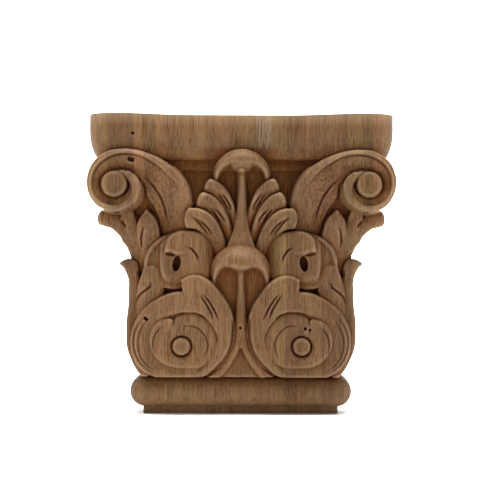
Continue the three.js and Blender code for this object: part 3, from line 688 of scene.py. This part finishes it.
# Hollow is how much of the open room in front a point doesn't see, past its neighbours' tops all round it.
# Climb is how the wood rises close round a point: above 0 in a crease, below 0 on an arris.
# Line is how much a line is cut there.
def markHollows(mesh, x, up, front):
    count = len(mesh.vertices)
    places, normals = np.empty(count * 3, np.float32), np.empty(count * 3, np.float32)
    mesh.vertices.foreach_get("co", places)
    mesh.vertex_normals.foreach_get("vector", normals)
    places, normals = places.reshape(-1, 3) * 1000, normals.reshape(-1, 3)
    level = places[:, 2] + onlay["height"] / 2
    step = x[1] - x[0]
    seen, weights, climb = np.zeros(count), np.zeros(count), np.zeros(count)
    closeLooks = len(hollows["closeSteps"]) * hollows["directions"]

    # how far the wood in front of a place beside each point stands out past that point
    def riseAt(across, above):
        i = np.clip(((across - x[0]) / step).round().astype(int), 0, len(x) - 1)
        k = np.clip(((above - up[0]) / step).round().astype(int), 0, len(up) - 1)
        return front[i, k] + places[:, 1]

    for turn in np.arange(0, 2 * math.pi, 2 * math.pi / hollows["directions"]):
        horizon = np.zeros(count)
        for far in hollows["steps"]:
            rise = riseAt(places[:, 0] + far * math.cos(turn), level + far * math.sin(turn)) / far
            horizon = np.maximum(horizon, rise - hollows["slack"] / far)
            if far in hollows["closeSteps"]:
                climb += np.clip(rise, -1, 1) / closeLooks
        facing = normals[:, 0] * math.cos(turn) + normals[:, 2] * math.sin(turn) - normals[:, 1]
        weight = np.maximum(hollows["graze"] + facing, 0)
        seen += weight * (1 - horizon / np.hypot(1, horizon))
        weights += weight
    hollow = 1 - seen / np.maximum(weights, 1e-6)
    behind = riseAt(places[:, 0], level) > hollows["behind"]
    line = sampled(cuts, *byHand(places[:, 0], level))
    line[behind] = 0
    climb[behind | (normals[:, 1] > -0.1)] = 0
    hollow[behind] = np.minimum(hollow[behind], hollows["backMost"])
    foot = level < onlay["foot"]["height"] + 0.5
    climb[foot] *= hollows["footClimb"]
    hollow[foot] *= hollows["footHollow"]
    hollow[(normals[:, 1] > 0.7) | (np.abs(places[:, 2]) > onlay["height"] / 2 - 0.3)] = 0
    # these marks set where the wood's colour is given painted shade and painted highlight
    for name, values in (("hollow", hollow), ("climb", climb), ("line", line)):
        mesh.attributes.new(name, "FLOAT", "POINT").data.foreach_set("value", values.astype(np.float32))


markHollows(piece.data, *surface)
print("hollows marked")

# The finish: colours are linear, lengths are millimetres.
wood = {
    "pale": (0.126, 0.0657, 0.0285), "deep": (0.0635, 0.0315, 0.0135), "pore": (0.48, 0.32, 0.19),
    # the hollow, crease and pit tints are painted shade (in the cut lines partly dirt too), and the arris
    # tint is a painted highlight, partly rubbed wear
    "olive": (0.90, 1.0, 0.90), "recessShade": (0.97, 0.73, 0.45), "creaseShade": (0.70, 0.50, 0.36),
    "pit": (0.42, 0.21, 0.10), "arrisHighlightAndWear": (0.075, 0.056, 0.038),
    "roughness": 0.55, "dullest": 0.85, "shine": 0.10,
    # each field of noise: its scale across, out and up, its octaves, and how rough the finer ones are
    "noise": {"wander": ((0.02, 0.02, 0.018), 1), "bands": ((0.09, 0.05, 0.006), 2),
              "fibres": ((1.0, 0.4, 0.035), 3, 0.6), "vessels": ((2.2, 0.9, 0.13), 1, 0.4),
              "longPores": ((1.5, 0.6, 0.035), 1, 0.4), "olive": ((0.035, 0.03, 0.004), 1),
              "clusters": ((0.07, 0.05, 0.02), 1), "gouge": ((0.35, 0.35, 0.25), 2)},
    # each mask: where it starts and how steeply it rises
    "masks": {"olive": (0.42, 5.0), "vessels": (0.57, 9.0), "longPores": (0.55, 9.0),
              # the last three masks set where shade is painted in the hollows, pits and creases
              "clusters": (0.42, 6.0), "recessShade": (0.10, 2.0), "pit": (0.80, 4.0), "creaseShade": (0.06, 2.2)},
    "arrisFrom": -0.10, "arrisGain": 2.2,
    # how much the staves, the bands and the fibres each shift the tone from deep to pale
    "staveTone": 1.5, "toneShift": -0.23, "bandTone": 1.1, "fibreTone": 2.0, "wander": 5.0,
    "poreMix": 0.8,
    # the tool pecked the band of each volute
    "pecked": {"across": 59.5, "up": 60, "halfWidth": 15, "halfHeight": 22, "scale": 0.6, "size": 0.48,
               "gain": 5.0, "fade": 2.0},
    # staves: where each begins, from the middle line, and how pale it is
    "staves": [[-114, 0.55], [-99, 0.30], [-80, 0.55], [-72, 0.45], [-64, 0.52], [-50, 0.60],
               [-27, 0.55], [-9, 0.50], [11, 0.45], [23, 0.52], [33, 0.28], [48, 0.40], [60, 0.33],
               [78, 0.38], [97, 0.5]],
    "staveSpan": 228, "staveShift": (900.0, 700.0),
    "joint": {"from": 11.3, "to": 23.2, "tip": 197.4, "root": 205.6, "pitch": 5.3,
              "pale": (0.142, 0.106, 0.074), "mix": 0.5, "sharpness": 0.8},
    "bump": {"pores": -0.35, "fibres": 0.5, "gouge": 0.9, "pecks": -2.4,
             "strength": 0.6, "distance": 0.0003},
}


def addNode(tree, kind, values=None, **settings):
    node = tree.nodes.new(kind)
    for name, value in settings.items():
        setattr(node, name, value)
    for name, value in (values or {}).items():
        if isinstance(value, bpy.types.NodeSocket):
            tree.links.new(value, node.inputs[name])
        else:
            node.inputs[name].default_value = value
    return node


def mixColours(tree, factor, first, second, blend="MIX"):
    values = {0: factor, 6: first if isinstance(first, bpy.types.NodeSocket) else (*first, 1),
              7: second if isinstance(second, bpy.types.NodeSocket) else (*second, 1)}
    return addNode(tree, "ShaderNodeMix", values, data_type="RGBA", blend_type=blend).outputs[2]


def fieldNoise(tree, place, scale, detail, roughness=0.5):
    spread = addNode(tree, "ShaderNodeMapping", {"Vector": place, "Scale": scale}).outputs[0]
    values = {"Vector": spread, "Scale": 1.0, "Detail": detail, "Roughness": roughness}
    return addNode(tree, "ShaderNodeTexNoise", values).outputs[0]


def staveRamp(tree, share):
    ramp = addNode(tree, "ShaderNodeValToRGB", {0: share})
    ramp.color_ramp.interpolation = "CONSTANT"
    stops = ramp.color_ramp.elements
    for n, (start, tone) in enumerate(wood["staves"]):
        position = (start + wood["staveSpan"] / 2) / wood["staveSpan"]
        stop = stops.new(position) if n else stops[0]
        stop.position, stop.color = position, (tone, tone, tone, 1)
    stops.remove(stops[-1])
    return ramp.outputs[0]


def woodMaterial():
    material = bpy.data.materials.new("carvedWood")
    material.use_nodes = True
    tree = material.node_tree
    shader = tree.nodes["Principled BSDF"]

    def sums(operation, *values, clamp=False):
        values = dict(enumerate(values))
        return addNode(tree, "ShaderNodeMath", values, operation=operation, use_clamp=clamp).outputs[0]

    def vectorMath(first, second, operation="ADD"):
        return addNode(tree, "ShaderNodeVectorMath", {0: first, 1: second}, operation=operation).outputs[0]

    def mask(name, value):
        start, gain = wood["masks"][name]
        return sums("MULTIPLY", sums("SUBTRACT", value, start), gain, clamp=True)

    def noise(name, where):
        return fieldNoise(tree, where, *wood["noise"][name])

    def marked(name):
        return addNode(tree, "ShaderNodeAttribute", attribute_name=name).outputs["Fac"]

    place = addNode(tree, "ShaderNodeTexCoord").outputs["Object"]
    place = vectorMath(place, (1000, 1000, 1000), "MULTIPLY")
    x, _, z = addNode(tree, "ShaderNodeSeparateXYZ", {0: place}).outputs

    # each stave has its own tone, and its own grain by a shift along the block
    stave = staveRamp(tree, sums("MULTIPLY_ADD", x, 1 / wood["staveSpan"], 0.5))
    out, along = (sums("MULTIPLY", stave, shift) for shift in wood["staveShift"])
    own = vectorMath(place, addNode(tree, "ShaderNodeCombineXYZ", {0: 0.0, 1: out, 2: along}).outputs[0])
    wander = sums("MULTIPLY_ADD", noise("wander", own), wood["wander"], -wood["wander"] / 2)
    own = vectorMath(own, addNode(tree, "ShaderNodeCombineXYZ", {0: wander, 1: 0.0, 2: 0.0}).outputs[0])
    bands, fibres = noise("bands", own), noise("fibres", own)
    tone = sums("MULTIPLY_ADD", stave, wood["staveTone"], wood["toneShift"])
    tone = sums("MULTIPLY_ADD", sums("SUBTRACT", bands, 0.5), wood["bandTone"], tone)
    tone = sums("MULTIPLY_ADD", sums("SUBTRACT", fibres, 0.5), wood["fibreTone"], tone, clamp=True)
    colour = mixColours(tree, tone, wood["deep"], wood["pale"])
    olive = mask("olive", noise("olive", own))
    colour = mixColours(tree, olive, colour, wood["olive"], "MULTIPLY")

    # the finger joint's upper piece is paler, and its fingers point down
    joint = wood["joint"]
    finger = joint["pitch"] / 2
    tooth = sums("PINGPONG", sums("SUBTRACT", x, joint["from"]), finger)
    root = joint["root"] - onlay["height"] / 2
    edge = sums("MULTIPLY_ADD", tooth, -(joint["root"] - joint["tip"]) / finger, root)
    within = sums("MULTIPLY", sums("GREATER_THAN", x, joint["from"]), sums("LESS_THAN", x, joint["to"]))
    upper = sums("MULTIPLY", sums("SUBTRACT", z, edge), joint["sharpness"], clamp=True)
    patch = sums("MULTIPLY", sums("MULTIPLY", within, upper), joint["mix"])
    colour = mixColours(tree, patch, colour, joint["pale"])

    # short pores lie all over and longer ones in clusters
    pores = mask("vessels", noise("vessels", own))
    clusters = mask("clusters", noise("clusters", own))
    marks = sums("MULTIPLY", mask("longPores", noise("longPores", own)), clusters)

    # the pecks fade out to the edge of an oval on each volute
    pecked = wood["pecked"]
    aside = sums("DIVIDE", sums("SUBTRACT", sums("ABSOLUTE", x), pecked["across"]), pecked["halfWidth"])
    above = sums("DIVIDE", sums("SUBTRACT", z, pecked["up"]), pecked["halfHeight"])
    apart = sums("ADD", sums("POWER", aside, 2.0), sums("POWER", above, 2.0))
    cells = addNode(tree, "ShaderNodeTexVoronoi", {"Vector": place, "Scale": pecked["scale"]})
    fade = sums("MULTIPLY", sums("SUBTRACT", 1.0, apart), pecked["fade"], clamp=True)
    pecks = sums("MULTIPLY", sums("SUBTRACT", pecked["size"], cells.outputs["Distance"]), fade)
    dents = sums("MULTIPLY", pecks, pecked["gain"], clamp=True)
    dark = sums("MAXIMUM", sums("MAXIMUM", pores, marks), dents)
    colour = mixColours(tree, sums("MULTIPLY", dark, wood["poreMix"]), colour, wood["pore"], "MULTIPLY")

    # painted shade darkens the hollows, the more the less a point sees of the room in front
    hollow, climb = marked("hollow"), marked("climb")
    recessShade = mask("recessShade", hollow)
    colour = mixColours(tree, recessShade, colour, wood["recessShade"], "MULTIPLY")
    # the arrises are painted pale: a painted highlight, and partly rubbed wear
    arrisHighlightAndWear = sums("MULTIPLY", sums("SUBTRACT", wood["arrisFrom"], climb), wood["arrisGain"], clamp=True)
    colour = mixColours(tree, arrisHighlightAndWear, colour, wood["arrisHighlightAndWear"], "SCREEN")
    # painted shade darkens the creases, where the wood rises close round a point
    colour = mixColours(tree, mask("creaseShade", climb), colour, wood["creaseShade"], "MULTIPLY")
    # painted shade is deepest in the deepest hollows and along the cut lines, where it is partly dirt too
    pit = sums("MAXIMUM", mask("pit", hollow), marked("line"))
    colour = mixColours(tree, pit, colour, wood["pit"], "MULTIPLY")
    tree.links.new(colour, shader.inputs["Base Color"])
    dull = sums("MULTIPLY_ADD", recessShade, wood["dullest"] - wood["roughness"], wood["roughness"])
    tree.links.new(dull, shader.inputs["Roughness"])
    shader.inputs["Specular IOR Level"].default_value = wood["shine"]

    # the grain is felt, and the gouge leaves soft facets
    bump = wood["bump"]
    height = sums("MULTIPLY", noise("gouge", place), bump["gouge"])
    height = sums("MULTIPLY_ADD", fibres, bump["fibres"], height)
    height = sums("MULTIPLY_ADD", dark, bump["pores"], height)
    height = sums("MULTIPLY_ADD", pecks, bump["pecks"], height)
    felt = {"Height": height, "Strength": bump["strength"], "Distance": bump["distance"]}
    tree.links.new(addNode(tree, "ShaderNodeBump", felt).outputs[0], shader.inputs["Normal"])
    return material


piece.data.materials.clear()
piece.data.materials.append(woodMaterial())
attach(piece, "root")
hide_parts("capital_onlay")

# Floor and backdrop, light and camera.
studio = {
    "floor": -0.1125, "spread": 3.0, "tone": (0.95, 0.95, 0.95), "roughness": 0.9,
    "bendFrom": 0.9, "bend": 0.6, "wall": 3,   # the floor bends up behind the onlay into a wall
    "world": 0.53, "worldTone": (1, 0.96, 0.90),
    "camera": (0.00675, -1.05, 0.0118), "fieldOfView": 21.1, "roll": -0.2, "sensor": 36,
    # name, place, aim, width and height, watts
    "lamps": [["topLight", (0, -0.4, 2.2), (0, 0, 0), (1.6, 0.5), 158],
              ["leftFill", (-1.5, -1.5, -0.08), (0, 0, 0), (1.0, 0.8), 9],
              ["rightFill", (1.5, -1.5, -0.08), (0, 0, 0), (1.0, 0.8), 8.5],
              ["leftLight", (-1.2, -0.15, 0.2), (0, 0, 0), (0.8, 0.8), 7],
              ["rightLight", (1.2, -0.15, 0.2), (0, 0, 0), (0.8, 0.8), 6],
              ["backLight", (0, 0.5, 1.4), (0, 1.5, 0.0), (3.0, 0.5), 60]],
}


def floorMaterial():
    material = bpy.data.materials.new("paleFloor")
    material.use_nodes = True
    shader = material.node_tree.nodes["Principled BSDF"]
    shader.inputs["Base Color"].default_value = (*studio["tone"], 1)
    shader.inputs["Roughness"].default_value = studio["roughness"]
    return material


def makeSweep():
    spread, floor, start, bend = (studio[n] for n in ("spread", "floor", "bendFrom", "bend"))
    profile = [(-spread, floor), (start, floor)]
    for turn in np.linspace(0.1, math.pi / 2, 12):
        profile.append((start + bend * math.sin(turn), floor + bend * (1 - math.cos(turn))))
    profile.append((start + bend, floor + studio["wall"]))
    points = [(x, y, z) for y, z in profile for x in (-spread, spread)]
    faces = [(2 * i, 2 * i + 1, 2 * i + 3, 2 * i + 2) for i in range(len(profile) - 1)]
    mesh = bpy.data.meshes.new("floor")
    mesh.from_pydata(points, [], faces)
    mesh.shade_smooth()
    sweep = bpy.data.objects.new("floor", mesh)
    bpy.context.scene.collection.objects.link(sweep)
    mesh.materials.append(floorMaterial())


def addLamp(name, place, aim, size, power):
    light = bpy.data.lights.new(name, "AREA")
    light.shape, light.size, light.size_y, light.energy = "RECTANGLE", size[0], size[1], power
    lamp = bpy.data.objects.new(name, light)
    lamp.location = place
    lamp.rotation_euler = (Vector(aim) - Vector(place)).to_track_quat("-Z", "Y").to_euler()
    bpy.context.scene.collection.objects.link(lamp)


def makeStudio():
    makeSweep()
    for lamp in studio["lamps"]:
        addLamp(*lamp)
    world = bpy.data.worlds.new("studio")
    world.use_nodes = True
    world.node_tree.nodes["Background"].inputs["Color"].default_value = (*studio["worldTone"], 1)
    world.node_tree.nodes["Background"].inputs["Strength"].default_value = studio["world"]
    bpy.context.scene.world = world
    camera = bpy.data.objects.new("camera", bpy.data.cameras.new("camera"))
    camera.data.sensor_width = studio["sensor"]
    camera.data.lens = studio["sensor"] / 2 / math.tan(math.radians(studio["fieldOfView"] / 2))
    camera.location = studio["camera"]
    camera.rotation_euler = (math.pi / 2, math.radians(studio["roll"]), 0)
    bpy.context.scene.collection.objects.link(camera)
    bpy.context.scene.camera = camera
    bpy.context.scene.view_settings.view_transform = "Standard"


makeStudio()
print("studio set")
